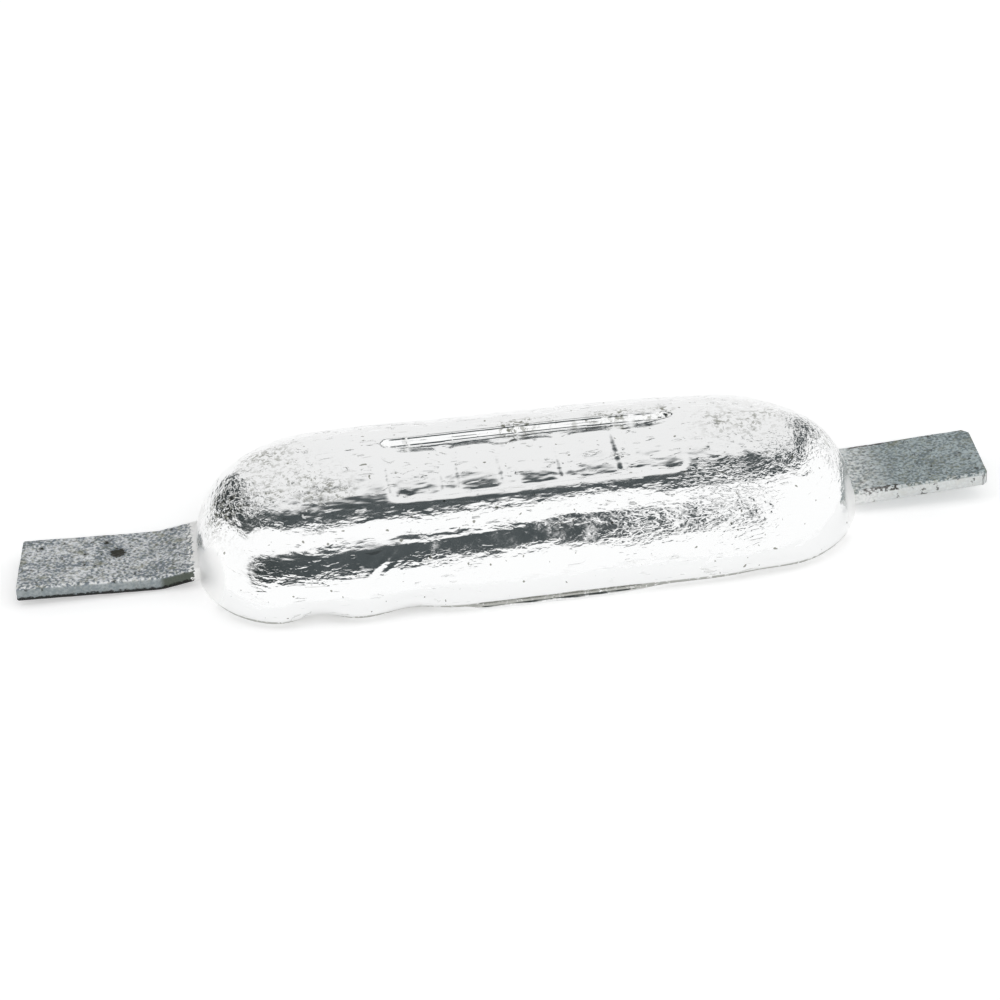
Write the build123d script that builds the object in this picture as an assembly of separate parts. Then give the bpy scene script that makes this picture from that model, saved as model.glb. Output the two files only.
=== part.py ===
"""Weld-on sacrificial anode: a pillow of cast zinc on one flat steel strap.

Millimetres, +Z up. The origin is the middle of the poured back face, which lies against the hull.
+X runs along the strap towards the straight tail, and the cranked tail points along -X.
"""
import os
from math import asin, atan2, cos, degrees, pi, radians, sin, sqrt, tan

from build123d import *

# Zinc casting: plan of the mould at the back face
casting_length = 207.5
casting_width = 86.0
corner_centre_offset = 4.5
end_nose_radius = 85.0

# Zinc casting: height, draft, crown and the rolled shoulders
casting_height = 29.0
wall_draft_degrees = 8.5
crown_drop_along = 3.6
crown_drop_across = 11.0
shoulder_radius = 25.0
pour_edge_radius = 3.0

# Name panel sunk in the crown, with a floor that follows the curve of the crown
panel_length = 94.0
panel_width = 34.0
panel_depth = 2.4
panel_corner_radius = 4.0
panel_wall_draft_degrees = 22.0
panel_along_offset = 3.4
panel_across_offset = -1.9
panel_edge_radius = 0.8

# Plain pads that stand up from the floor of the panel, in one row
pad_count = 5
pad_length = 15.0
pad_width = 26.0
pad_pitch = 18.2
pad_along_offset = 0.3
pad_across_offset = -2.0
pad_below_crown = 1.3
pad_corner_radius = 2.5
pad_wall_draft_degrees = 12.0
pad_edge_bevel = 0.4

# Steel strap: section of the flat bar and where it lies in the casting
strap_width = 25.0
strap_thickness = 5.0
strap_edge_radius = 0.8
strap_across_offset = -1.5
strap_core_height = 2.9
bend_radius = 9.0

# Cranked tail: it dips to the hull and lifts a little towards its skewed end
cranked_tail_reach = 157.1
cranked_tail_lift = 1.8
cranked_end_skew = 2.8
crank_bottom_reach = 114.3
crank_bottom_height = 0.2
crank_top_reach = 99.8

# Straight tail: it rises a little all the way to its clipped end
straight_tail_reach = 144.2
straight_tail_rise = 2.1
straight_tail_root = 106.0
far_corner_clip = 2.0
near_corner_clip = 0.9

# How far a cutting shape passes the faces that it cuts
overrun = 5.0


def casting_plan():
    """Straight sides joined at each end by a corner arc, a flatter nose arc and a corner arc."""
    corner_radius = casting_width / 2 - corner_centre_offset
    nose_centre = casting_length / 2 - end_nose_radius
    corner_x = nose_centre + sqrt((end_nose_radius - corner_radius) ** 2 - corner_centre_offset**2)
    meet = atan2(corner_centre_offset, corner_x - nose_centre)

    def on_nose(angle):
        return (nose_centre + end_nose_radius * cos(angle), end_nose_radius * sin(angle))

    def on_corner(angle):
        return (corner_x + corner_radius * cos(angle), corner_centre_offset + corner_radius * sin(angle))

    nose = ThreePointArc(on_nose(0), on_nose(meet / 2), on_nose(meet))
    corner = ThreePointArc(on_corner(meet), on_corner((meet + pi / 2) / 2), on_corner(pi / 2))
    side = Line(on_corner(pi / 2), (0, casting_width / 2))
    quarter = nose + corner + side
    half = quarter + mirror(quarter, about=Plane.YZ)
    return make_face(half + mirror(half, about=Plane.XZ))


def crown(lowered=0.0):
    """A solid with the crown for its top, arched both along and across, lowered by a given depth."""
    along_radius = ((casting_length / 2) ** 2 + crown_drop_along**2) / (2 * crown_drop_along)
    half_width = casting_width / 2 + overrun
    drop = crown_drop_across * (2 * half_width / casting_width) ** 2
    side_height = casting_height - drop
    arch = Bezier((0, -half_width, side_height), (0, 0, casting_height + drop), (0, half_width, side_height))
    foot = Polyline(
        (0, half_width, side_height),
        (0, half_width, -overrun),
        (0, -half_width, -overrun),
        (0, -half_width, side_height),
    )
    swing = degrees(asin((casting_length / 2 + overrun) / (along_radius - casting_height)))
    axle = Axis((0, 0, casting_height - along_radius), (0, 1, 0))
    form = revolve(make_face(arch + foot).rotate(axle, -swing), axis=axle, revolution_arc=2 * swing)
    return Pos(0, 0, -lowered) * form


def casting_blank():
    """Drafted walls rolled over large shoulders into the crown, with a soft edge round the back."""
    walls = extrude(casting_plan(), amount=casting_height + overrun, taper=wall_draft_degrees)
    sharp = walls & crown()
    shouldered = fillet(sharp.faces().sort_by(Axis.Z)[-1].edges(), radius=shoulder_radius)
    return fillet(shouldered.faces().sort_by(Axis.Z)[0].edges(), radius=pour_edge_radius)


def panel_recess():
    """The metal left out of the crown: sloping walls down to a floor that follows the crown."""
    flare = overrun * tan(radians(panel_wall_draft_degrees))
    mouth = RectangleRounded(
        panel_length + 2 * flare, panel_width + 2 * flare, panel_corner_radius + flare
    )
    plug = extrude(mouth, amount=2 * overrun, taper=panel_wall_draft_degrees)
    place = Pos(panel_along_offset, panel_across_offset, casting_height + overrun)
    return place * Rot(180, 0, 0) * plug - crown(panel_depth)


def pads():
    """The row of plain pads, each drawn in as it rises to a bevelled top a little below the crown."""
    outline = RectangleRounded(pad_length, pad_width, pad_corner_radius)
    root = casting_height - panel_depth - overrun
    block = extrude(
        Plane.XY.offset(root) * outline,
        amount=casting_height + overrun - root,
        taper=pad_wall_draft_degrees,
    )
    first = panel_along_offset + pad_along_offset - (pad_count - 1) / 2 * pad_pitch
    across = panel_across_offset + pad_across_offset
    row = []
    for number in range(pad_count):
        pad = Pos(first + number * pad_pitch, across, 0) * block & crown(pad_below_crown)
        row.append(chamfer(pad.faces().sort_by(Axis.Z)[-1].edges(), length=pad_edge_bevel))
    return row


def strap_path():
    """The middle line of the bar, seen from the side: both tails, the crank and the straight core."""
    cranked_end = cranked_tail_reach + overrun
    straight_end = straight_tail_reach + overrun
    lift = cranked_tail_lift / (cranked_tail_reach - crank_bottom_reach)
    rise = straight_tail_rise / (straight_tail_reach - straight_tail_root)
    underside = [
        (-cranked_end, crank_bottom_height + lift * (cranked_end - crank_bottom_reach)),
        (-crank_bottom_reach, crank_bottom_height),
        (-crank_top_reach, strap_core_height),
        (straight_tail_root, strap_core_height),
        (straight_end, strap_core_height + rise * (straight_end - straight_tail_root)),
    ]
    middle = strap_thickness / 2
    points = [(x, strap_across_offset, z + middle) for x, z in underside]
    return FilletPolyline(*points, radius=bend_radius + middle)


def strap_plan():
    """The bar's ends seen from above: one cut askew, the other with both corners clipped."""
    side = strap_width / 2
    clear = side + overrun
    skew = cranked_end_skew / 2 * clear / side
    outline = Polyline(
        (-cranked_tail_reach - skew, -clear),
        (straight_tail_reach - near_corner_clip - overrun, -clear),
        (straight_tail_reach, near_corner_clip - side),
        (straight_tail_reach, side - far_corner_clip),
        (straight_tail_reach - far_corner_clip - overrun, clear),
        (-cranked_tail_reach + skew, clear),
        close=True,
    )
    return Pos(0, strap_across_offset, 0) * make_face(outline)


def steel_strap():
    """One flat bar with rolled edges, bent at the crank and cut to length at both ends."""
    path = strap_path()
    start = Plane(origin=path @ 0, x_dir=(0, 1, 0), z_dir=path % 0)
    bar = sweep(start * RectangleRounded(strap_width, strap_thickness, strap_edge_radius), path=path)
    return bar & extrude(strap_plan(), amount=casting_height, both=True)


def zinc_casting(strap):
    """The pillow with its name panel, cast round the strap without a gap."""
    blank = casting_blank()
    recess = panel_recess()
    panelled = blank - recess
    lip = new_edges(blank, recess, combined=panelled)
    return fillet(lip, radius=panel_edge_radius) + pads() - strap


def main():
    os.makedirs("parts", exist_ok=True)
    strap = steel_strap()
    export_step(strap, "parts/steel_strap.step")
    export_step(zinc_casting(strap), "parts/zinc_casting.step")


if __name__ == "__main__":
    main()
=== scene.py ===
"""A weld-on anode in a soft studio: bright cast zinc round a galvanised steel strap.

Metres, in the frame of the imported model: the poured back face lies on the floor, and +X runs
along the strap towards the straight tail.
"""

import logging
import math
from dataclasses import dataclass
from enum import Enum
from typing import Iterator, Union

import bmesh
import bpy
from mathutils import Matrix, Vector, noise


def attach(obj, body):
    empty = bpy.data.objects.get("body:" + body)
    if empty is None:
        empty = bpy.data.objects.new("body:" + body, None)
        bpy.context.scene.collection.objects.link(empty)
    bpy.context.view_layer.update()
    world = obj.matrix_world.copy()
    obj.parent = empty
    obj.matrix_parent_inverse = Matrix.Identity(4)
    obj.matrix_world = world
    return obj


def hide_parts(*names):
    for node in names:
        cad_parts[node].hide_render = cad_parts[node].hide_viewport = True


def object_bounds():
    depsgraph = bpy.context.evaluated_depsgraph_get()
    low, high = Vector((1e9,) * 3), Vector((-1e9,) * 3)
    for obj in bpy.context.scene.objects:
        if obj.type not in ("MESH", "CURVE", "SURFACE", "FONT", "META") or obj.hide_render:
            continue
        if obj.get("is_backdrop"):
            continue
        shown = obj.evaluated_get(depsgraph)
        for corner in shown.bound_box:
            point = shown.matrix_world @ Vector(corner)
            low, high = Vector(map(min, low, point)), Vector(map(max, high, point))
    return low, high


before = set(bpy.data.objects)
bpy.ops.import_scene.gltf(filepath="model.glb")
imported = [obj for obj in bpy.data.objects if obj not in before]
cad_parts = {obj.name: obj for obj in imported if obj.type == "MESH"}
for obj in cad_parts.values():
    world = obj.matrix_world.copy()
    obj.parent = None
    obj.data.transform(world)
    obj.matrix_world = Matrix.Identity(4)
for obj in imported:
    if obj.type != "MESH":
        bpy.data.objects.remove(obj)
CAD_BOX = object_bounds()
MM = 0.001
ROOT = "root"

Triple = tuple[float, float, float]
Colour = tuple[float, float, float, float]
Socket = bpy.types.NodeSocket
Value = Union[Socket, float]
Paint = Union[Socket, Colour]

# The curves of the finishes and of the skin.
Step = tuple[float, float]  # an S curve: where it is 0 and where it is 1
Window = tuple[float, float, float]  # both ends and how soft they are
Line = tuple[float, float, float, float]  # both ends and the values there

# Where the Mix node keeps its sockets for colours.
MIX_SHARE, MIX_FIRST, MIX_SECOND, MIX_RESULT = 0, 6, 7, 2
# Beyond this a soft ramp is as good as straight.
RAMP_STRAIGHT = 30

log = logging.getLogger("anode")


class Slot(Enum):
    """The record's material slots."""

    ZINC = "zinc"
    STEEL = "galvanised_steel"


class Part(Enum):
    """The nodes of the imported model."""

    CASTING = "zinc_casting"
    STRAP = "steel_strap"


class Layer(Enum):
    """What is noted on the vertices for the finishes."""

    FLOW = "flow"
    SKIN = "skin"
    FROST = "frost"
    LIE = "lie"


class Region(Enum):
    """The regions of the casting's skin that are worked in their own way."""

    PANEL_FLOOR = "panel floor"
    FAR_WALL = "far wall"
    REST = "rest"


def clamp(value: float, low: float, high: float) -> float:
    """Return a value held between two limits."""
    return min(max(value, low), high)


def smooth_step(ends: Step, value: float) -> float:
    """Return 0 up to the first end, 1 from the second on and an S curve between them."""
    start, end = ends
    t = clamp((value - start) / (end - start), 0.0, 1.0)
    return t * t * (3 - 2 * t)


def hump(value: float, centre: float, spread: float) -> float:
    """Return a bell curve of height 1 round a centre."""
    return math.exp(-(((value - centre) / spread) ** 2))


def eased(value: float, limit: float, ease: float = 0.001) -> float:
    """Return a value that comes gently to a limit on either side of zero."""
    over = abs(value) - (limit - ease)
    return value if over <= 0 else math.copysign(limit - ease * math.exp(-over / ease), value)


def soft_ramp(value: float) -> float:
    """Return 0 far below zero and the value itself far above it, with a soft bend between."""
    return value if value > RAMP_STRAIGHT else math.log1p(math.exp(value))


@dataclass(frozen=True)
class Texture:
    """A noise texture: its settings, how it is stretched and turned, and its cut into spots."""

    scale: float
    detail: float = 4.0
    roughness: float = 0.5
    bend: float = 0.0
    stretch: Triple | None = None
    turn: float = 0.0
    cut: Step | None = None


class Tree:
    """Adds nodes to one node tree and joins them."""

    def __init__(self, tree: bpy.types.NodeTree) -> None:
        """Empty the tree of a material or of the world."""
        self.nodes = tree.nodes
        self.links = tree.links
        self.nodes.clear()

    def add(self, kind: str, inputs: dict | None = None, **settings: str) -> bpy.types.Node:
        """Add a node.

        Args:
            kind: The end of the node's type name, after ShaderNode.
            inputs: Values or sockets for its inputs, by name or by number.
            settings: Properties of the node itself.

        Returns:
            The new node.
        """
        node = self.nodes.new("ShaderNode" + kind)
        for name, value in settings.items():
            setattr(node, name, value)
        for name, value in (inputs or {}).items():
            if isinstance(value, Socket):
                self.links.new(value, node.inputs[name])
            else:
                node.inputs[name].default_value = value
        return node

    def coordinates(self, kind: str) -> Socket:
        """Return texture coordinates of one kind."""
        return self.add("TexCoord").outputs[kind]

    def attribute(self, layer: Layer, kind: str = "Vector") -> Socket:
        """Return what is noted on the vertices."""
        return self.add("Attribute", attribute_name=layer.value).outputs[kind]

    def split(self, vector: Socket) -> list[Socket]:
        """Return the three parts of a vector."""
        return list(self.add("SeparateXYZ", {0: vector}).outputs)

    def maths(self, operation: str, *values: Value) -> Socket:
        """Return the result of a Math node."""
        return self.add("Math", dict(enumerate(values)), operation=operation).outputs[0]

    def plus(self, first: Value, second: Value) -> Socket:
        """Return the sum of two values."""
        return self.maths("ADD", first, second)

    def times(self, value: Value, *others: Value) -> Socket:
        """Return the product of two or more values."""
        for other in others:
            value = self.maths("MULTIPLY", value, other)
        return value

    def most(self, value: Value, *others: Value) -> Socket:
        """Return the largest of two or more values."""
        for other in others:
            value = self.maths("MAXIMUM", value, other)
        return value

    def step(self, value: Value, ends: Step) -> Socket:
        """Return an S curve from 0 at the first end to 1 at the second."""
        inputs = {"Value": value, "From Min": ends[0], "From Max": ends[1]}
        return self.add("MapRange", inputs, interpolation_type="SMOOTHSTEP").outputs["Result"]

    def line(self, value: Value, ends: Line) -> Socket:
        """Return a value carried from one range to another, held at its ends."""
        names = ("From Min", "From Max", "To Min", "To Max")
        return self.add("MapRange", {"Value": value, **dict(zip(names, ends))}).outputs["Result"]

    def window(self, value: Value, gate: Window) -> Socket:
        """Return 1 between two ends, with soft edges."""
        low, high, soft = gate
        rise = self.step(value, (low - soft, low + soft))
        fall = self.step(value, (high + soft, high - soft))
        return self.times(rise, fall)

    def blend(self, share: Value, first: Paint, second: Paint) -> Socket:
        """Return a colour between two colours."""
        inputs = {MIX_SHARE: share, MIX_FIRST: first, MIX_SECOND: second}
        return self.add("Mix", inputs, data_type="RGBA").outputs[MIX_RESULT]

    def noise(self, place: Socket, texture: Texture) -> Socket:
        """Return the value of a noise texture, or its spots if it has a cut."""
        if texture.stretch:
            turn = (0.0, 0.0, texture.turn)
            mapping = {"Vector": place, "Scale": texture.stretch, "Rotation": turn}
            place = self.add("Mapping", mapping).outputs[0]
        inputs = {
            "Vector": place,
            "Scale": texture.scale,
            "Detail": texture.detail,
            "Roughness": texture.roughness,
            "Distortion": texture.bend,
        }
        value = self.add("TexNoise", inputs).outputs[0]
        return self.step(value, texture.cut) if texture.cut else value

    def bump(
        self, height: Socket, distance: float, strength: float = 1.0, under: Socket | None = None
    ) -> Socket:
        """Return the normal of a bumped surface, laid over another normal if one is given."""
        inputs = {"Height": height, "Distance": distance, "Strength": strength}
        if under is not None:
            inputs["Normal"] = under
        return self.add("Bump", inputs).outputs[0]

    def surface(self, colour: Socket, metallic: Value, roughness: Value, normal: Socket) -> None:
        """End a material in a principled shader."""
        names = ("Base Color", "Metallic", "Roughness", "Normal")
        values = (colour, metallic, roughness, normal)
        shader = self.add("BsdfPrincipled", dict(zip(names, values)))
        self.add("OutputMaterial", {"Surface": shader.outputs[0]})


def new_material(name: str) -> tuple[bpy.types.Material, Tree]:
    """Return a new material and its emptied tree."""
    material = bpy.data.materials.new(name)
    material.use_nodes = True
    return material, Tree(material.node_tree)


@dataclass(frozen=True)
class SkinPlace:
    """Sockets that say where on the casting's skin a point lies and how the skin is there."""

    point: Socket  # object coordinates
    flow: Socket  # the run of the metal
    coarse: Socket  # how rough it is, from 0 to 1
    soil_and_shade: Socket  # how much dross lies on it, and the painted shade along the panel's far lip
    calm: Socket  # how smooth it is, from 0 to 1


@dataclass(frozen=True)
class BrightZinc:
    """The skin of freshly cast zinc: a wrinkled mirror with grey dross in its folds.

    All heights are in metres, and so are the places down and along the run of the metal.
    """

    name: str = "bright_zinc"
    metal: Colour = (0.88, 0.885, 0.885, 1.0)
    # Dark dross colour, also used for the painted shade along the far lip and the foot.
    dross_and_shade: Colour = (0.20, 0.205, 0.17, 1.0)
    frosted: Colour = (0.98, 0.98, 0.975, 1.0)
    sheen: Texture = Texture(140.0, 3.0)
    sheen_roughness: Line = (0.3, 0.7, 0.07, 0.14)
    frosted_roughness: float = 0.5
    frosted_metallic: Line = (0.0, 1.0, 1.0, 0.8)

    lap_drift: Texture = Texture(115.0, 1.5, 0.5, 0.8, (1.0, 3.2, 2.0))
    lap_middle: float = 0.5
    lap_width: Step = (0.055, 0.0)
    lap_patches: Texture = Texture(170.0, 1.0, stretch=(1.0, 1.6, 1.6), cut=(0.58, 0.68))
    lap_calm: Line = (0.0, 0.7, 1.0, 0.05)
    lap_height: float = 0.00012

    wrinkles: Texture = Texture(200.0, 0.5, 0.4, 0.5, (1.0, 2.2, 1.7))
    wrinkle_height: float = 0.00012
    shoulder_down: Line = (0.012, 0.034, 0.4, 1.0)
    shoulder_calm: Line = (0.0, 1.0, 1.0, 0.15)

    grain: Texture = Texture(540.0, 1.0, 0.5, 0.4, (1.0, 1.4, 1.2), 0.3)
    grain_height: float = 0.00024
    grain_share: Line = (0.0, 0.5, 0.07, 0.6)
    low_band_down: Window = (0.044, 0.056, 0.002)
    high_band_down: Window = (0.027, 0.034, 0.002)
    between_bands_down: Window = (0.034, 0.044, 0.002)
    between_bands_along: Window = (-0.02, 0.05, 0.015)
    band_calm: Line = (0.3, 1.0, 0.42, 0.08)

    flecks: Texture = Texture(330.0, 1.5, 0.5, 0.6, (1.0, 2.0, 1.6), 0.4, (0.46, 0.60))
    fleck_height: float = 0.00011
    fleck_coarse: Step = (0.25, 0.95)

    specks: Texture = Texture(560.0, 3.0, 0.7, 0.4)
    speck_size: Step = (0.47, 0.60)
    clouds: Texture = Texture(110.0, 3.0, 0.6, 0.8)
    cloud_share: Line = (0.40, 0.60, 0.25, 1.35)
    streaks: Texture = Texture(90.0, 3.0, 0.6, 0.3, (1.0, 7.0, 3.0), cut=(0.66, 0.74))
    streak_dirt: float = 0.5
    lap_dirt: float = 0.25
    pits: Texture = Texture(620.0, 0.0, cut=(0.80, 0.84))
    skin_dirt_and_shade: float = 0.85
    # Painted contact shade: a thin ragged dark line low on the foot, where it meets the floor.
    foot_shade_height: Window = (0.0006, 0.0024, 0.0004)
    foot_shade_speck_size: Step = (0.32, 0.50)
    foot_shade: float = 0.7

    def make(self) -> bpy.types.Material:
        """Return the finished material."""
        material, tree = new_material(self.name)
        point = tree.coordinates("Object")
        flow = tree.attribute(Layer.FLOW)
        where = SkinPlace(point, flow, *tree.split(tree.attribute(Layer.SKIN)))
        frost = tree.attribute(Layer.FROST, "Fac")

        laps = self.laps(tree, where)
        normal = self.relief(tree, where, laps)
        colour = tree.blend(frost, self.soiled_and_shaded(tree, where, laps), self.frosted)
        polished = tree.line(tree.noise(point, self.sheen), self.sheen_roughness)
        roughness = tree.most(polished, tree.times(frost, self.frosted_roughness))
        tree.surface(colour, tree.line(frost, self.frosted_metallic), roughness, normal)
        return material

    def laps(self, tree: Tree, where: SkinPlace) -> Socket:
        """Return short thin lines where one tongue of metal froze over another.

        Args:
            tree: The material's tree.
            where: The place on the skin.

        Returns:
            A mask, 1 on a line.
        """
        off = tree.maths("SUBTRACT", tree.noise(where.flow, self.lap_drift), self.lap_middle)
        line = tree.step(tree.maths("ABSOLUTE", off), self.lap_width)
        here = tree.noise(where.flow, self.lap_patches)
        return tree.times(line, tree.times(here, tree.line(where.calm, self.lap_calm)))

    def relief(self, tree: Tree, where: SkinPlace, laps: Socket) -> Socket:
        """Return the normal of the fine wrinkles, flecks and laps.

        Args:
            tree: The material's tree.
            where: The place on the skin.
            laps: The mask of the lap lines.

        Returns:
            The bumped normal.
        """
        flow, calm = where.flow, where.calm
        along, down, _ = tree.split(flow)
        shoulder = tree.line(down, self.shoulder_down)
        shoulder = tree.times(shoulder, tree.line(calm, self.shoulder_calm))
        wrinkles = tree.times(tree.noise(flow, self.wrinkles), shoulder)
        normal = tree.bump(wrinkles, self.wrinkle_height)

        low_band = tree.window(down, self.low_band_down)
        bands = tree.plus(low_band, tree.window(down, self.high_band_down))
        between = tree.window(down, self.between_bands_down)
        between = tree.times(between, tree.window(along, self.between_bands_along))
        busy = tree.times(tree.most(bands, between), tree.line(calm, self.band_calm))
        coarse = tree.most(where.coarse, busy)
        share = tree.times(tree.line(coarse, self.grain_share), shoulder)
        grain = tree.times(tree.noise(flow, self.grain), share)
        normal = tree.bump(grain, self.grain_height, under=normal)

        flecks = tree.times(tree.noise(flow, self.flecks), tree.step(coarse, self.fleck_coarse))
        normal = tree.bump(flecks, self.fleck_height, under=normal)
        return tree.bump(laps, self.lap_height, under=normal)

    def soiled_and_shaded(self, tree: Tree, where: SkinPlace, laps: Socket) -> Socket:
        """Return the colour of the metal with dross in laps, streaks and patches, painted shade
        along the far lip and painted contact shade on the foot.

        Args:
            tree: The material's tree.
            where: The place on the skin.
            laps: The mask of the lap lines.

        Returns:
            The colour.
        """
        point = where.point
        specks = tree.noise(point, self.specks)
        clouds = tree.line(tree.noise(point, self.clouds), self.cloud_share)
        # Dross patches, together with the painted shade along the panel's far lip.
        patches = tree.times(tree.step(specks, self.speck_size), tree.times(where.soil_and_shade, clouds))
        streaks = tree.times(tree.noise(where.flow, self.streaks), self.streak_dirt)
        laps = tree.times(laps, self.lap_dirt)
        dirt_and_shade = tree.most(patches, streaks, laps, tree.noise(point, self.pits))

        # Painted contact shade low on the foot, speckled, in the dark dross colour.
        foot = tree.window(tree.split(point)[2], self.foot_shade_height)
        foot = tree.times(foot, tree.step(specks, self.foot_shade_speck_size))
        dirt_and_shade = tree.most(tree.times(dirt_and_shade, self.skin_dirt_and_shade), tree.times(foot, self.foot_shade))
        return tree.blend(dirt_and_shade, self.metal, self.dross_and_shade)


@dataclass(frozen=True)
class BarPlace:
    """Sockets that say where on the bar a point lies."""

    point: Socket  # object coordinates
    along: Socket  # metres along the bar
    depth: Socket  # below the bar's top, 1 at its underside
    rim: Socket  # from the nearer long edge, in widths
    spot: Socket  # how near a dark spot is, from 0 to 1
    mottle: Socket  # the noise of the speckles


@dataclass(frozen=True)
class GalvanisedSteel:
    """Dull hot-dip galvanising: mottled blue grey, with brown stains and dark pits.

    Places along the bar and reaches are in metres, depths in thicknesses and rims in widths.
    """

    name: str = "galvanised_steel"
    light_left: Colour = (0.80, 0.815, 0.83, 1.0)
    dark_left: Colour = (0.165, 0.20, 0.23, 1.0)
    light_right: Colour = (0.48, 0.55, 0.57, 1.0)
    dark_right: Colour = (0.16, 0.20, 0.21, 1.0)
    olive: Colour = (0.19, 0.185, 0.085, 1.0)
    side_left: Colour = (0.30, 0.34, 0.35, 1.0)
    side_right: Colour = (0.86, 0.87, 0.86, 1.0)
    pit: Colour = (0.03, 0.03, 0.022, 1.0)
    crank: Colour = (0.055, 0.068, 0.040, 1.0)
    # Painted shade along the lower edge of the left tail.
    shade: Colour = (0.004, 0.005, 0.004, 1.0)
    # Pale zinc for worn edges and the smear on the left, and for the painted reflection on the
    # right tail.
    smear_and_reflection: Colour = (0.95, 0.95, 0.94, 1.0)
    metallic: float = 0.55
    roughness: Line = (0.3, 0.7, 0.42, 0.62)
    right_along: Step = (-0.05, 0.05)
    left_along: Step = (0.05, -0.05)

    mottle: Texture = Texture(1050.0, 1.0, 0.5, 0.2, (1.0, 1.2, 1.0), 0.6)
    mottle_share: float = 0.62
    mottle_height: float = 0.0005
    mottle_strength: float = 0.6
    grit: Texture = Texture(700.0, 4.0, 0.6)
    grit_height: float = 0.00025
    grit_strength: float = 0.8
    clouds: Texture = Texture(150.0, 4.0, 0.6, 0.5)
    cloud_share: float = 0.38
    light_size: Step = (0.37, 0.63)
    warmth: Texture = Texture(900.0, 1.0, cut=(0.50, 0.66))
    warm_amount: float = 0.35
    stains: Texture = Texture(130.0, 5.0, 0.65, 0.6, cut=(0.55, 0.66))
    stain_amount: float = 0.55

    side_depth: Step = (0.10, 0.25)
    side_rim: Step = (0.05, 0.02)
    side_amount: float = 0.75
    crank_along: Window = (-0.1140, -0.1000, 0.0012)
    crank_amount: float = 0.8
    shade_depth: Step = (0.66, 0.80)
    shade_ragged: Line = (0.3, 0.7, -0.08, 0.08)
    shade_amount: float = 0.95

    spot_ragged: Line = (0.3, 0.7, -0.25, 0.25)
    spot_size: Step = (0.45, 0.75)
    small_pits: Texture = Texture(480.0, 3.0, 0.6, cut=(0.62, 0.69))
    small_pit_amount: float = 0.8
    edge_depth: Window = (-0.02, 0.13, 0.02)
    edge_rim: Step = (0.035, 0.015)
    edge_worn: Step = (0.44, 0.60)
    edge_amount: float = 0.5
    chip_along: Window = (0.1050, 0.1165, 0.0006)
    chip_rim: Step = (0.060, 0.045)
    chip_depth: Step = (0.32, 0.20)
    chip_size: Step = (0.60, 0.50)
    reach_ragged: Line = (0.3, 0.7, -0.0012, 0.0012)
    reflected_reach: Step = (0.1180, 0.1040)
    reflected_size: Line = (0.35, 0.65, 0.1, 0.7)
    smear_reach: Step = (0.1050, 0.1040)

    def make(self) -> bpy.types.Material:
        """Return the finished material."""
        material, tree = new_material(self.name)
        point = tree.coordinates("Object")
        along = tree.split(point)[0]
        mottle = tree.noise(point, self.mottle)
        where = BarPlace(point, along, *tree.split(tree.attribute(Layer.LIE)), mottle)

        colour = self.spangle(tree, where)
        for mask, amount, paint in self.coats(tree, where):
            colour = tree.blend(tree.times(mask, amount), colour, paint)
        grit = tree.noise(point, self.grit)
        normal = tree.bump(grit, self.grit_height, self.grit_strength)
        normal = tree.bump(mottle, self.mottle_height, self.mottle_strength, normal)
        tree.surface(colour, self.metallic, tree.line(mottle, self.roughness), normal)
        return material

    def spangle(self, tree: Tree, where: BarPlace) -> Socket:
        """Return the speckled colour of the faces, paler on the cranked tail.

        Args:
            tree: The material's tree.
            where: The place on the bar.

        Returns:
            The colour.
        """
        right = tree.step(where.along, self.right_along)
        dark = tree.blend(right, self.dark_left, self.dark_right)
        light = tree.blend(right, self.light_left, self.light_right)
        clouds = tree.times(tree.noise(where.point, self.clouds), self.cloud_share)
        both = tree.plus(tree.times(where.mottle, self.mottle_share), clouds)
        return tree.blend(tree.step(both, self.light_size), dark, light)

    def coats(self, tree: Tree, where: BarPlace) -> Iterator[tuple[Socket, float, Paint]]:
        """Yield the coats over the spangle, the lowest first.

        Args:
            tree: The material's tree.
            where: The place on the bar.

        Yields:
            A coat's mask, how much of it shows, and its colour.
        """
        left = tree.step(where.along, self.left_along)
        right = tree.step(where.along, self.right_along)
        yield tree.noise(where.point, self.warmth), self.warm_amount, self.olive
        yield tree.noise(where.point, self.stains), self.stain_amount, self.olive

        # Plainer sides, the dark crank, and painted shade along the black lower edge of the left
        # tail.
        rim = tree.step(where.rim, self.side_rim)
        side = tree.times(tree.step(where.depth, self.side_depth), rim)
        yield side, self.side_amount, tree.blend(right, self.side_left, self.side_right)
        crank = tree.times(side, tree.window(where.along, self.crank_along))
        yield crank, self.crank_amount, self.crank
        ragged = tree.plus(where.depth, tree.line(where.mottle, self.shade_ragged))
        low = tree.times(tree.step(ragged, self.shade_depth), left)
        yield low, self.shade_amount, self.shade

        # Dark spots and pits, and pale worn edges.
        spots = tree.plus(where.spot, tree.line(where.mottle, self.spot_ragged))
        small = tree.times(tree.noise(where.point, self.small_pits), self.small_pit_amount)
        yield tree.most(tree.step(spots, self.spot_size), small), 1.0, self.pit
        worn = tree.times(
            tree.window(where.depth, self.edge_depth),
            tree.step(where.rim, self.edge_rim),
            tree.step(where.mottle, self.edge_worn),
        )
        yield worn, self.edge_amount, self.smear_and_reflection

        # Chips beside the casting on the right, a painted reflection of the bright zinc nose on
        # the right tail, and a smear of zinc on the left.
        chips = tree.times(
            tree.window(where.along, self.chip_along),
            tree.step(where.rim, self.chip_rim),
            tree.step(where.depth, self.chip_depth),
            tree.step(where.mottle, self.chip_size),
        )
        yield chips, 1.0, self.pit
        ragged = tree.line(where.mottle, self.reach_ragged)
        reach = tree.maths("ABSOLUTE", tree.plus(where.along, ragged))
        flecked = tree.line(where.mottle, self.reflected_size)
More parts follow.
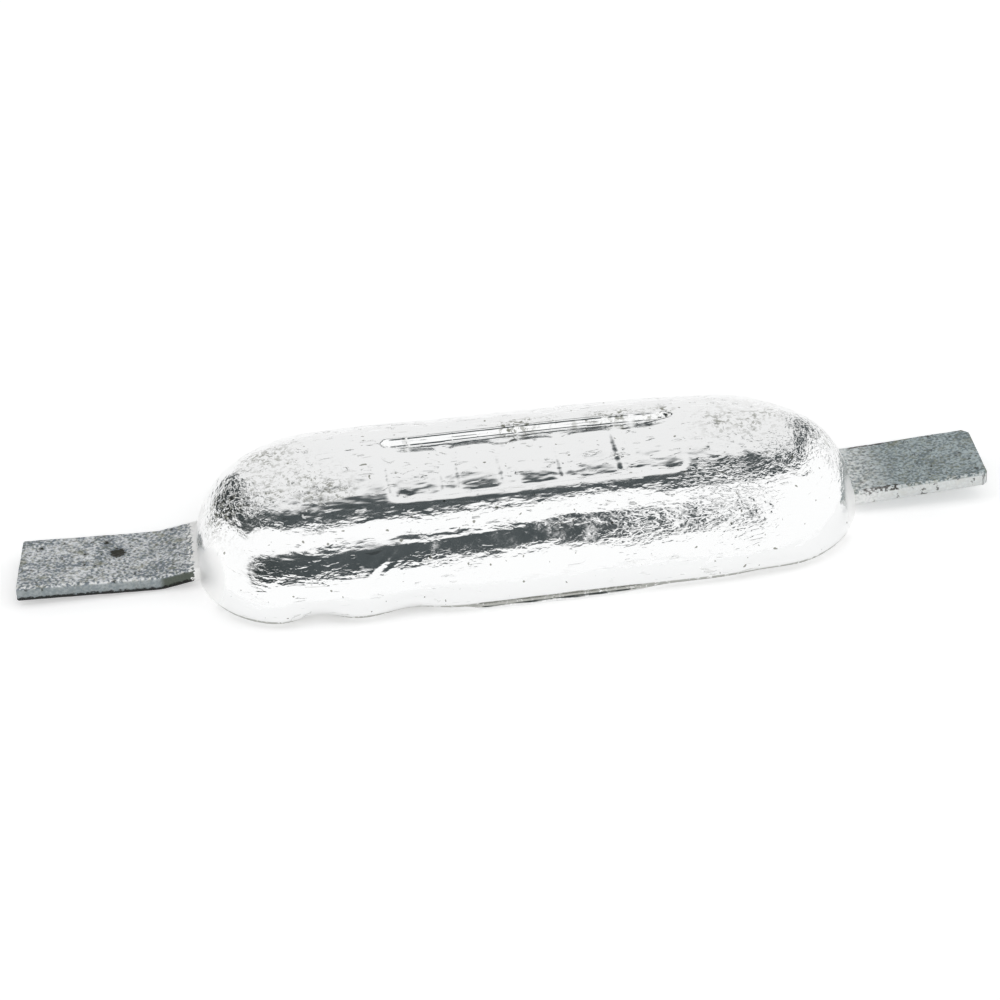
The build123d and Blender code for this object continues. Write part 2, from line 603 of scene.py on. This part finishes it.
        # Painted reflection of the zinc nose, speckled, on the right tail beside the casting.
        yield tree.times(tree.step(reach, self.reflected_reach), flecked, right), 1.0, self.smear_and_reflection
        yield tree.times(tree.step(reach, self.smear_reach), left), 1.0, self.smear_and_reflection


def apply_modifiers(piece: bpy.types.Object) -> None:
    """Replace a piece's mesh by the one that its modifiers make, and drop them."""
    bpy.context.view_layer.update()
    graph = bpy.context.evaluated_depsgraph_get()
    mesh = bpy.data.meshes.new_from_object(piece.evaluated_get(graph))
    piece.modifiers.clear()
    piece.data = mesh


def new_piece(name: str, bm: bmesh.types.BMesh) -> bpy.types.Object:
    """Turn a bmesh into an object of the scene and free it."""
    mesh = bpy.data.meshes.new(name)
    bm.to_mesh(mesh)
    bm.free()
    piece = bpy.data.objects.new(name, mesh)
    bpy.context.scene.collection.objects.link(piece)
    return piece


def dress(
    piece: bpy.types.Object, material: bpy.types.Material, slot: Slot, stands_for: Part
) -> None:
    """Give a piece its finish and its body, and hide the imported node that it stands for."""
    piece.data.materials.clear()
    piece.data.materials.append(material)
    piece.data.shade_smooth()
    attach(piece, ROOT)
    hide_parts(stands_for.value)


@dataclass(frozen=True)
class Patch:
    """A round patch of the skin, strongest in its middle."""

    middle: Triple
    radius: float
    strength: float = 1.0

    def at(self, point: Vector) -> float:
        """Return the patch's strength at a point."""
        off = (point - Vector(self.middle)).length_squared
        return self.strength * math.exp(-(off / (self.radius * self.radius)))


def strongest(patches: tuple[Patch, ...], point: Vector) -> float:
    """Return the strength of the strongest patch at a point."""
    return max(patch.at(point) for patch in patches)


@dataclass(frozen=True)
class Lumps:
    """Smooth noise: its lumps to the metre along each axis, and their height in mm."""

    rates: Triple
    height: float = 1.0
    shift: float = 0.0  # of the third coordinate
    push: tuple[float, float] = (0.0, 0.0)  # of the first two, for each unit of warp

    def at(self, place: Vector, warp: float = 0.0) -> float:
        """Return the noise at a place, from about -1 to 1, with its lumps pushed by a warp."""
        x, y, z = (part * rate for part, rate in zip(place, self.rates))
        first, second = self.push
        return noise.noise(Vector((x + first * warp, y + second * warp, z + self.shift)))


@dataclass(frozen=True)
class Fold:
    """A long fold of the near side, placed in the run of the metal."""

    place: float
    depth: float
    reach: float
    lean: float
    crest: float
    width: float = 0.0008
    sway: float = 0.4
    end_power: int = 4

    def at(self, flow: Vector, warp: float) -> float:
        """Return the fold's height in mm at a place in the run of the warped metal."""
        along = flow.x - self.place
        off = flow.y - self.depth + self.lean * along + self.sway * MM * warp
        if abs(along) >= self.reach or abs(off) >= 3 * self.width:
            return 0.0
        ends = 1 - (along / self.reach) ** self.end_power
        return self.crest * hump(off, 0.0, self.width) * ends


@dataclass(frozen=True)
class PouredSkin:
    """The waves, folds and ripples that the poured metal froze in."""

    waves: Lumps = Lumps((38, 60, 60), 0.26)
    rolls: Lumps = Lumps((95, 170, 90), 0.16, 7.0)
    warps: Lumps = Lumps((60, 60, 0), shift=3.0)
    ridges: Lumps = Lumps((190, 560, 200), 0.13, push=(1.0, 2.0))
    ripples: Lumps = Lumps((420, 900, 300), 0.04, 4.0, (0.0, 1.0))
    warp_size: float = 0.9
    ridge_middle: float = 0.35
    back: Step = (0.004, 0.0005)
    back_calm: float = 0.6
    folds: tuple[Fold, ...] = (
        Fold(-0.049, 0.050, 0.006, 1.1, 0.24),
        Fold(-0.046, 0.052, 0.005, 1.1, 0.20),
        Fold(-0.022, 0.041, 0.024, 0.03, 0.16),
        Fold(0.018, 0.037, 0.012, -0.05, 0.18),
        Fold(0.048, 0.044, 0.012, 0.12, 0.18),
        Fold(-0.030, 0.056, 0.014, 0.02, 0.14),
    )

    def height(self, point: Vector, flow: Vector) -> float:
        """Return how far the skin stands out or in at a point.

        Args:
            point: A point of the skin.
            flow: Its place in the run of the metal.

        Returns:
            The height along the normal, in metres.
        """
        warp = self.warps.at(flow) * self.warp_size
        height = self.waves.height * self.waves.at(point)
        height += self.rolls.height * self.rolls.at(flow)
        height += self.ridges.height * (self.ridge_middle - abs(self.ridges.at(flow, warp)))
        height += self.ripples.height * self.ripples.at(flow, warp)
        if point.y < 0:
            for fold in self.folds:
                height += fold.at(flow, warp)
        return height * MM * (1 - self.back_calm * smooth_step(self.back, point.z))


@dataclass(frozen=True)
class Panel:
    """The panel sunk in the crown, which the skin fills again at its ends and near edge."""

    x: float = 0.0034
    half_length: float = 0.053
    far_wall_half_length: float = 0.045
    lowest: float = 0.012
    near: float = -0.0235
    far: float = 0.012
    back: float = 0.019
    undercut: float = 0.7
    undercut_y: float = 0.0138
    undercut_spread: float = 0.0022
    undercut_fade: Step = (0.0272, 0.0260)
    crown_height: float = 0.029
    crown_drop_across: float = 0.0110
    crown_half_width: float = 0.043
    crown_drop_along: float = 0.0036
    crown_half_length: float = 0.1037
    end_fill: float = 0.65
    end_run: Step = (0.036, 0.047)
    near_fill: float = 0.45
    near_run: Step = (-0.013, -0.019)

    def region(self, point: Vector) -> Region:
        """Return which region of the skin a point lies in."""
        along = abs(point.x - self.x)
        if point.z < self.lowest or along > self.half_length:
            return Region.REST
        if self.near < point.y < self.far:
            return Region.PANEL_FLOOR
        on_wall = along < self.far_wall_half_length and self.far <= point.y < self.back
        return Region.FAR_WALL if on_wall else Region.REST

    def rise(self, point: Vector) -> float:
        """Return how far a point goes up: the far wall is undercut and the floor partly filled.

        Args:
            point: A point of the skin.

        Returns:
            The rise in metres, below 0 where the point goes down.
        """
        x, y, z = point
        region = self.region(point)
        if region is Region.FAR_WALL:
            bite = hump(y, self.undercut_y, self.undercut_spread)
            return -self.undercut * MM * bite * smooth_step(self.undercut_fade, z)
        if region is Region.REST:
            return 0.0
        crown = self.crown_height - self.crown_drop_across * (y / self.crown_half_width) ** 2
        crown -= self.crown_drop_along * (x / self.crown_half_length) ** 2
        end = self.end_fill * smooth_step(self.end_run, abs(x - self.x))
        near = self.near_fill * smooth_step(self.near_run, y)
        return max(crown - z, 0.0) * max(end, near)


@dataclass(frozen=True)
class Foot:
    """The near foot: scallops where the metal shrank, and a thin lip of flash."""

    start_y: float = -0.028
    height: Step = (0.010, 0.0)
    lift: float = 0.45
    # Each scallop's place along, its spread, and its size in mm.
    hollows: tuple[Triple, ...] = (
        (-0.068, 0.0085, 3.2),
        (-0.040, 0.0100, 2.0),
        (0.069, 0.0100, 1.0),
    )
    lip_edge: float = -0.0424
    lip_start: Step = (-0.024, -0.018)
    lip_end: Step = (0.042, 0.022)
    lip_height: Step = (0.00135, 0.00054)
    lip_waver: float = 0.0004
    lip_rate: float = 150.0
    groove_depth: float = 0.3
    groove_height: float = 0.00198
    groove_spread: float = 0.00072

    def work(self, x: float, y: float, z: float) -> tuple[float, float]:
        """Return where a point of the near foot goes: its new y and z."""
        if y >= self.start_y:
            return y, z
        low = smooth_step(self.height, z)
        hollow = sum(size * hump(x, place, spread) for place, spread, size in self.hollows)
        y += hollow * MM * low
        z += self.lift * hollow * MM * low

        run = smooth_step(self.lip_start, x) * smooth_step(self.lip_end, x)
        waver = 1 + noise.noise(Vector((x * self.lip_rate, 0, 0)))
        edge = self.lip_edge + self.lip_waver * waver
        lip = smooth_step(self.lip_height, z) * (edge - y)
        groove = hump(z, self.groove_height, self.groove_spread)
        return y + run * (lip + self.groove_depth * MM * groove), z


@dataclass
class ZincCasting:
    """The pillow of cast zinc, with the waves, folds and laps of the poured metal.

    The skin is rebuilt in even cells from the solid, so that it can be worked finely.
    """

    skin: PouredSkin = PouredSkin()
    panel: Panel = Panel()
    foot: Foot = Foot()

    # How the skin is rebuilt in cells and smoothed.
    cell: float = 0.00077
    weld_distance: float = 1e-6
    plug_size: Triple = (0.2030, 0.0264, 0.0066)
    plug_middle: Triple = (0.0, -0.0015, 0.0053)
    smooth_share: float = 0.5
    smooth_rounds: int = 4
    floor_rounds: int = 11

    # The run of the metal round the pillow.
    spine: float = 0.062
    end_radius: float = 0.040
    end_round: float = 0.004
    crown_height: float = 0.029
    side_rate: float = 0.35

    # Where the cooled metal has left the mould's shape; the rise and the drop are in mm.
    slim: float = 0.022
    slim_run: Step = (0.05, -0.10)
    far_side: Step = (0.005, 0.022)
    far_height: Step = (0.004, 0.014)
    far_left_rise: float = 1.0
    far_left_run: Step = (-0.02, -0.06)
    far_right_drop: float = 0.8
    far_right_run: Step = (0.04, 0.075)
    near_left_corner: float = 0.050
    far_left_corner: float = -0.030
    near_right_corner: float = 0.030
    far_right_corner: float = -0.060
    end_limit: float = 0.1032
    side_limit: float = 0.0424
    top_limit: float = 0.0283

    # Marks on the skin.
    patch_rate: float = 48.0
    patch_size: Step = (0.0, 0.5)
    patch_coarse: float = 0.30
    frost_size: Step = (0.10, 0.45)
    calm_share: float = 0.5
    coarse_patches: tuple[Patch, ...] = (
        Patch((-0.09, -0.004, 0.022), 0.013),
        Patch((0.093, -0.002, 0.018), 0.014),
        Patch((0.08, -0.012, 0.023), 0.012, 0.8),
        Patch((0.064, -0.032, 0.019), 0.017, 0.9),
        Patch((0.036, -0.034, 0.019), 0.012, 0.6),
        Patch((-0.086, -0.034, 0.008), 0.009, 0.5),
    )
    calm_patches: tuple[Patch, ...] = (
        Patch((-0.098, -0.018, 0.01), 0.018),
        Patch((0.086, -0.036, 0.012), 0.02, 0.9),
        Patch((-0.05, -0.031, 0.022), 0.014, 0.8),
        Patch((0.0, -0.04, 0.006), 0.03, 0.6),
        Patch((-0.076, -0.027, 0.022), 0.009, 0.7),
        Patch((-0.093, -0.022, 0.018), 0.012, 0.9),
    )
    # Dross on the noses and the right end; the small patches along the far lip are painted shade.
    dross_and_shade_patches: tuple[Patch, ...] = (
        Patch((-0.07, -0.004, 0.027), 0.01),
        Patch((-0.061, -0.01, 0.027), 0.008, 0.8),
        Patch((-0.08, 0.014, 0.024), 0.01, 0.8),
        Patch((0.068, 0.006, 0.028), 0.01),
        Patch((0.078, 0.01, 0.026), 0.008, 0.7),
        Patch((-0.09, -0.004, 0.022), 0.011, 1.2),
        Patch((0.093, -0.001, 0.018), 0.008, 0.9),
        # Painted shade: ragged dark patches along the panel's far lip, under its undercut wall.
        Patch((-0.002, 0.016, 0.027), 0.0032, 1.8),
        Patch((0.004, 0.016, 0.027), 0.0028, 1.8),
        Patch((0.011, 0.016, 0.027), 0.0026, 1.6),
        Patch((0.026, 0.016, 0.0268), 0.003, 1.7),
        Patch((0.033, 0.016, 0.0268), 0.0028, 1.7),
        Patch((0.04, 0.016, 0.0266), 0.003, 1.8),
        Patch((0.047, 0.016, 0.0262), 0.0026, 1.7),
    )
    frosted_patches: tuple[Patch, ...] = (
        Patch((-0.102, -0.014, 0.004), 0.008),
        Patch((-0.0985, -0.02, 0.008), 0.008),
        Patch((-0.102, 0.006, 0.007), 0.008),
        Patch((0.101, -0.0165, 0.005), 0.0085),
        Patch((0.102, 0.006, 0.008), 0.0075),
    )

    def build(self, strap: bpy.types.Object) -> bpy.types.Object:
        """Build the casting.

        Args:
            strap: The finished strap, which the zinc is cast round.

        Returns:
            The casting as one closed skin with a slot for the strap.
        """
        piece = new_piece("casting", self.solid_block())
        remesh = piece.modifiers.new("even_skin", "REMESH")
        remesh.mode = "VOXEL"
        remesh.voxel_size = self.cell
        apply_modifiers(piece)
        self.work_skin(piece.data)
        self.cut_slot(piece, strap)
        return piece

    def solid_block(self) -> bmesh.types.BMesh:
        """Return the solid's own skin with a plug in the strap's passage.

        The plug is a little larger than the passage, so that the two become one when the skin
        is rebuilt.
        """
        bm = bmesh.new()
        bm.from_mesh(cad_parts[Part.CASTING.value].data)
        bmesh.ops.remove_doubles(bm, verts=bm.verts, dist=self.weld_distance)
        plug = bmesh.ops.create_cube(bm, size=1.0)["verts"]
        bmesh.ops.scale(bm, vec=self.plug_size, verts=plug)
        bmesh.ops.translate(bm, vec=self.plug_middle, verts=plug)
        return bm

    def work_skin(self, mesh: bpy.types.Mesh) -> None:
        """Smooth the cells, raise the folds and note the run of the metal on the skin.

        Args:
            mesh: The rebuilt skin, changed in place.
        """
        bm = bmesh.new()
        bm.from_mesh(mesh)
        self.smooth_cells(bm)
        flow_layer = bm.verts.layers.float_vector.new(Layer.FLOW.value)
        skin_layer = bm.verts.layers.float_vector.new(Layer.SKIN.value)
        frost_layer = bm.verts.layers.float.new(Layer.FROST.value)
        for vert in bm.verts:
            flow = self.flow_place(vert.co)
            speckled = smooth_step(self.patch_size, noise.noise(vert.co * self.patch_rate))
            coarse = self.patch_coarse * speckled + strongest(self.coarse_patches, vert.co)
            calm = strongest(self.calm_patches, vert.co)
            frost = strongest(self.frosted_patches, vert.co)
            vert[flow_layer] = flow
            vert[skin_layer] = Vector((coarse, strongest(self.dross_and_shade_patches, vert.co), calm))
            vert[frost_layer] = smooth_step(self.frost_size, frost)
            out = self.skin.height(vert.co, flow) * (1 - self.calm_share * calm)
            vert.co = self.settle(vert.co + vert.normal * out)
        bm.to_mesh(mesh)
        bm.free()

    def smooth_cells(self, bm: bmesh.types.BMesh) -> None:
        """Smooth the steps of the cells away, most on the panel's floor, not on its far wall."""
        floor = [v for v in bm.verts if self.panel.region(v.co) is Region.PANEL_FLOOR]
        rest = [v for v in bm.verts if self.panel.region(v.co) is Region.REST]
        axes = {"use_axis_x": True, "use_axis_y": True, "use_axis_z": True}
        for verts in [floor + rest] * self.smooth_rounds + [floor] * self.floor_rounds:
            bmesh.ops.smooth_vert(bm, verts=verts, factor=self.smooth_share, **axes)
        bm.normal_update()

    def flow_place(self, point: Vector) -> Vector:
        """Return where a point lies along and across the run of the metal.

        Args:
            point: A point of the skin.

        Returns:
            The way round the pillow, the way down from its crest, and the side.
        """
        along, out = abs(point.x), abs(point.y)
        beyond = along - self.spine
        if beyond > 0:
            along = self.spine + self.end_radius * math.atan2(beyond, out + self.end_round)
            out = math.hypot(beyond, point.y)
        down = out + self.crown_height - point.z
        return Vector((math.copysign(along, point.x), down, self.side_rate * point.y))

    def settle(self, point: Vector) -> Vector:
        """Move a point where the cooled metal has left the mould's shape.

        Args:
            point: A point of the skin.

        Returns:
            The moved point, inside the casting's box.
        """
        x, y, z = point
        z += self.panel.rise(point)
        z += self.far_rise(x, y, z)
        y *= 1 - self.slim + self.slim * smooth_step(self.slim_run, x)
        x, y = self.fill_corner(x, y)
        y, z = self.foot.work(x, y, z)
        y = clamp(y, -self.side_limit, self.side_limit)
        return Vector((eased(x, self.end_limit), y, clamp(z, 0.0, self.top_limit)))

    def far_rise(self, x: float, y: float, z: float) -> float:
        """Return how far the far side is up towards the left end and down towards the right."""
        share = smooth_step(self.far_side, y) * smooth_step(self.far_height, z)
        left = self.far_left_rise * smooth_step(self.far_left_run, x)
        right = self.far_right_drop * smooth_step(self.far_right_run, x)
        return MM * share * (left - right)

    def fill_corner(self, x: float, y: float) -> tuple[float, float]:
        """Return where a point goes as the plan's corners fill out or draw in: its new x and y."""
        beyond = abs(x) - self.spine
        if beyond <= 0:
            return x, y
        if x < 0:
            fuller = self.near_left_corner if y < 0 else self.far_left_corner
        else:
            fuller = self.near_right_corner if y < 0 else self.far_right_corner
        out = math.hypot(beyond, y)
        swell = 1 + fuller * (2 * beyond * abs(y) / (out * out)) ** 2
        return math.copysign(self.spine + beyond * swell, x), y * swell

    def cut_slot(self, piece: bpy.types.Object, strap: bpy.types.Object) -> None:
        """Cut the passage that the strap fills."""
        cut = piece.modifiers.new("strap_slot", "BOOLEAN")
        cut.operation = "DIFFERENCE"
        cut.solver = "MANIFOLD"
        cut.object = strap
        apply_modifiers(piece)


@dataclass(frozen=True)
class Spot:
    """A dark spot on the bar's top."""

    x: float
    y: float
    radius: float
    strength: float

    def at(self, point: Vector) -> float:
        """Return the spot's strength at a point."""
        off = (point.x - self.x) ** 2 + (point.y - self.y) ** 2
        return self.strength * math.exp(-off / (self.radius * self.radius))


@dataclass
class SteelStrap:
    """The flat bar: two welding tails and the core inside the zinc.

    A flat sheet is drawn along the bar's bends, given its thickness, and its edges are broken.
    """

    width: float = 0.025
    thickness: float = 0.005
    across: float = -0.0015
    left_end: float = -0.15695
    right_end: float = 0.1441
    skew: float = 0.0013
    skew_run: Step = (-0.3, -0.5)
    far_clip: float = 0.0020
    near_clip: float = 0.0009
    clip_distance: float = 1e-7
    edge: float = 0.0006
    edge_segments: int = 3
    edge_profile: float = 0.5
    corner_angle: float = 0.7
    columns: int = 302
    rows: int = 26

    # The bends, seen from the side.
    left_lift: float = 0.0018
    bottom_x: float = -0.1143
    bottom_z: float = 0.0002
    top_x: float = -0.0998
    core_z: float = 0.0029
    root_x: float = 0.106
    right_rise: float = 0.0021
    bend_softness: float = 0.0006

    # Wear: lumps to the metre and depths in mm.
    dent_rate: float = 160.0
    dent_size: float = 0.10
    nick_rate: float = 480.0
    nick_shift: Triple = (5.0, 0.0, 0.0)
    nick_size: float = 0.05
    spot_size: float = 0.25
    top_depth: float = 0.1
    dark_spots: tuple[Spot, ...] = (
        Spot(-0.1268, 0.0008, 0.0026, 1.3),
        Spot(-0.15, 0.006, 0.0012, 1.0),
        Spot(-0.144, 0.0, 0.001, 0.8),
        Spot(-0.1365, 0.0015, 0.0011, 0.9),
        Spot(-0.13, 0.0065, 0.0013, 0.9),
        Spot(-0.137, -0.0045, 0.001, 0.8),
        Spot(0.113, 0.004, 0.0009, 0.8),
        Spot(0.128, -0.006, 0.001, 0.8),
    )

    def underside(self, x: float) -> float:
        """Return the height of the bar's underside at a place along it."""
        lift = -self.left_lift / (self.bottom_x - self.left_end)
        crank = (self.core_z - self.bottom_z) / (self.top_x - self.bottom_x)
        rise = self.right_rise / (self.right_end - self.root_x)
        height = self.bottom_z + lift * (x - self.bottom_x)
        hinges = ((self.bottom_x, crank - lift), (self.top_x, -crank), (self.root_x, rise))
        for place, turn in hinges:
            way = (x - place) / self.bend_softness
            height += turn * self.bend_softness * soft_ramp(way)
        return height

    def build(self) -> bpy.types.Object:
        """Build the strap.

        Returns:
            The strap as one closed bar.
        """
        bm = self.flat_sheet()
        self.clip_corners(bm)
        for vert in bm.verts:
            vert.co.z = self.underside(vert.co.x)
        shell = bmesh.ops.extrude_face_region(bm, geom=bm.faces[:])
        top = [v for v in shell["geom"] if isinstance(v, bmesh.types.BMVert)]
        bmesh.ops.translate(bm, vec=(0, 0, self.thickness), verts=top)
        bmesh.ops.recalc_face_normals(bm, faces=bm.faces)
        self.break_edges(bm)
        return new_piece("strap", bm)

    def flat_sheet(self) -> bmesh.types.BMesh:
        """Return a flat sheet of the bar's length and width, with its left end askew."""
        bm = bmesh.new()
        bmesh.ops.create_grid(bm, x_segments=self.columns, y_segments=self.rows, size=0.5)
        middle = (self.left_end + self.right_end) / 2
        length = self.right_end - self.left_end
        for vert in bm.verts:
            across = vert.co.y * self.width
            slant = self.skew * smooth_step(self.skew_run, vert.co.x) * across / self.width * 2
            vert.co = Vector((middle + vert.co.x * length + slant, self.across + across, 0.0))
        return bm

    def clip_corners(self, bm: bmesh.types.BMesh) -> None:
        """Cut both corners off the straight tail."""
        half = self.width / 2
        for side, clip in ((-1, self.near_clip), (1, self.far_clip)):
            bmesh.ops.bisect_plane(
                bm,
                geom=bm.verts[:] + bm.edges[:] + bm.faces[:],
                dist=self.clip_distance,
                plane_co=(self.right_end - clip, self.across + side * half, 0.0),
                plane_no=(1.0, side * 1.0, 0.0),
                clear_outer=True,
            )

    def break_edges(self, bm: bmesh.types.BMesh) -> None:
        """Round all the edges of the bar."""
        sharp = [
            e
            for e in bm.edges
            if len(e.link_faces) == 2 and e.calc_face_angle(0.0) > self.corner_angle
        ]
        bmesh.ops.bevel(
            bm,
            geom=sharp,
            offset=self.edge,
            segments=self.edge_segments,
            profile=self.edge_profile,
            affect="EDGES",
            material=-1,
        )
        bmesh.ops.recalc_face_normals(bm, faces=bm.faces)

    def wear(self, piece: bpy.types.Object) -> None:
        """Pit the faces, batter the edges and note on the skin how each point lies.

        Args:
            piece: The strap, after the zinc has been cut to it.
        """
        bm = bmesh.new()
        bm.from_mesh(piece.data)
        bm.normal_update()
        lie_layer = bm.verts.layers.float_vector.new(Layer.LIE.value)
        for vert in bm.verts:
            p = vert.co
            depth = 1 - (p.z - self.underside(p.x)) / self.thickness
            rim = 0.5 - abs(p.y - self.across) / self.width
            on_top = depth < self.top_depth
            spot = max(s.at(p) for s in self.dark_spots) if on_top else 0.0
            vert[lie_layer] = Vector((depth, rim, spot))
            dent = noise.noise(p * self.dent_rate) * self.dent_size
            dent += noise.noise(p * self.nick_rate + Vector(self.nick_shift)) * self.nick_size
            dent -= self.spot_size * spot
            vert.co = p + vert.normal * dent * MM
        bm.to_mesh(piece.data)
        bm.free()


@dataclass
class Studio:
    """A pale floor, soft light from a painted sky, and the camera.

    A direction of the sky is read by its rise, in degrees from the near horizon over the top,
    and by its lean along the object, from -1 to 1.
    """

    floor_size: float = 8.0
    floor_drop: float = 0.00002
    floor_colour: Colour = (0.8, 0.8, 0.8, 1.0)
    floor_glow: float = 0.42
    camera_place: Triple = (-0.09147, -0.8036, 0.57119)
    camera_turn: Triple = (55.184, 2.398, -7.634)
    lens: float = 113.866
    sensor: float = 36.0
    nearest: float = 0.01

    wall: Colour = (1.12, 1.12, 1.12, 1.0)
    backdrop: Colour = (0.96, 0.96, 0.96, 1.0)
    deep_gap: Colour = (0.014, 0.020, 0.017, 1.0)
    pale_gap: Colour = (0.085, 0.099, 0.104, 1.0)
    clutter: Texture = Texture(40.0, 4.0, 0.75)
    clutter_pale: Line = (0.36, 0.64, -0.45, 1.0)
    lean_pale: Line = (-0.80, 0.05, 0.0, 0.75)
    frame_rise: Step = (110.0, 114.0)
    frame_lean: Window = (-0.62, 0.60, 0.03)
    backdrop_rise: Step = (124.0, 133.0)
    backdrop_lean: Window = (-0.36, 0.44, 0.05)
    near_gap_rise: Window = (40.0, 77.0, 2.0)
    near_gap_lean: Window = (-0.80, 0.20, 0.09)

    def build(self) -> None:
        """Build the floor, the sky and the camera."""
        self.floor()
        self.sky()
        self.camera()

    def camera(self) -> None:
        """Place the camera where the photograph was taken from."""
        data = bpy.data.cameras.new("camera")
        data.lens = self.lens
        data.sensor_width = self.sensor
        data.clip_start = self.nearest
        camera = bpy.data.objects.new("camera", data)
        camera.location = self.camera_place
        camera.rotation_euler = [math.radians(a) for a in self.camera_turn]
        bpy.context.scene.collection.objects.link(camera)
        bpy.context.scene.camera = camera

    def floor(self) -> None:
        """Lay a plain pale floor that keeps the object's shadow."""
        bm = bmesh.new()
        bmesh.ops.create_grid(bm, x_segments=1, y_segments=1, size=self.floor_size / 2)
        bmesh.ops.translate(bm, vec=(0, 0, -self.floor_drop), verts=bm.verts)
        floor = new_piece("floor", bm)
        material, tree = new_material("pale_floor")
        matt = tree.add("BsdfDiffuse", {"Color": self.floor_colour})
        path = tree.add("LightPath").outputs
        rays = ("Is Camera Ray", "Is Glossy Ray", "Is Transmission Ray")
        seen = tree.most(*(path[ray] for ray in rays))
        glow = tree.add("Emission", {"Strength": tree.times(seen, self.floor_glow)})
        both = tree.add("AddShader", {0: matt.outputs[0], 1: glow.outputs[0]})
        tree.add("OutputMaterial", {"Surface": both.outputs[0]})
        floor.data.materials.append(material)
        floor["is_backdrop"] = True

    def sky(self) -> None:
        """Paint the studio round the object: pale walls, a backdrop and the dark gaps."""
        world = bpy.data.worlds.new("studio")
        bpy.context.scene.world = world
        world.use_nodes = True
        tree = Tree(world.node_tree)
        direction = tree.coordinates("Generated")
        lean, far, up = tree.split(direction)
        rise = tree.maths("DEGREES", tree.maths("ARCTAN2", up, tree.times(far, -1.0)))

        clutter = tree.line(tree.noise(direction, self.clutter), self.clutter_pale)
        pale = tree.plus(tree.line(lean, self.lean_pale), clutter)
        gap = tree.blend(pale, self.deep_gap, self.pale_gap)
        panes = (
            (tree.step(rise, self.frame_rise), self.frame_lean, gap),
            (tree.step(rise, self.backdrop_rise), self.backdrop_lean, self.backdrop),
            (tree.window(rise, self.near_gap_rise), self.near_gap_lean, gap),
        )
        colour = self.wall
        for risen, leaning, paint in panes:
            colour = tree.blend(tree.times(risen, tree.window(lean, leaning)), colour, paint)
        light = tree.add("Background", {"Color": colour, "Strength": 1.0})
        tree.add("OutputWorld", {"Surface": light.outputs[0]})


def write_sizes() -> None:
    """Work out the CAD box and the box of what is seen, as plain lists."""
    boxes = {"cad": CAD_BOX, "visual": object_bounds()}
    plain = {name: [[float(c) for c in corner] for corner in box] for name, box in boxes.items()}


def main() -> None:
    """Build the studio and the anode in order, and report each piece."""
    logging.basicConfig(level=logging.INFO, format="%(name)s: %(message)s")
    bpy.context.scene.view_settings.view_transform = "Standard"
    Studio().build()

    bar = SteelStrap()
    strap = bar.build()
    casting = ZincCasting().build(strap)
    bar.wear(strap)
    dress(strap, GalvanisedSteel().make(), Slot.STEEL, Part.STRAP)
    dress(casting, BrightZinc().make(), Slot.ZINC, Part.CASTING)
    for piece in (strap, casting):
        log.info("%s has %d faces", piece.name, len(piece.data.polygons))
    write_sizes()


if __name__ == "__main__":
    main()
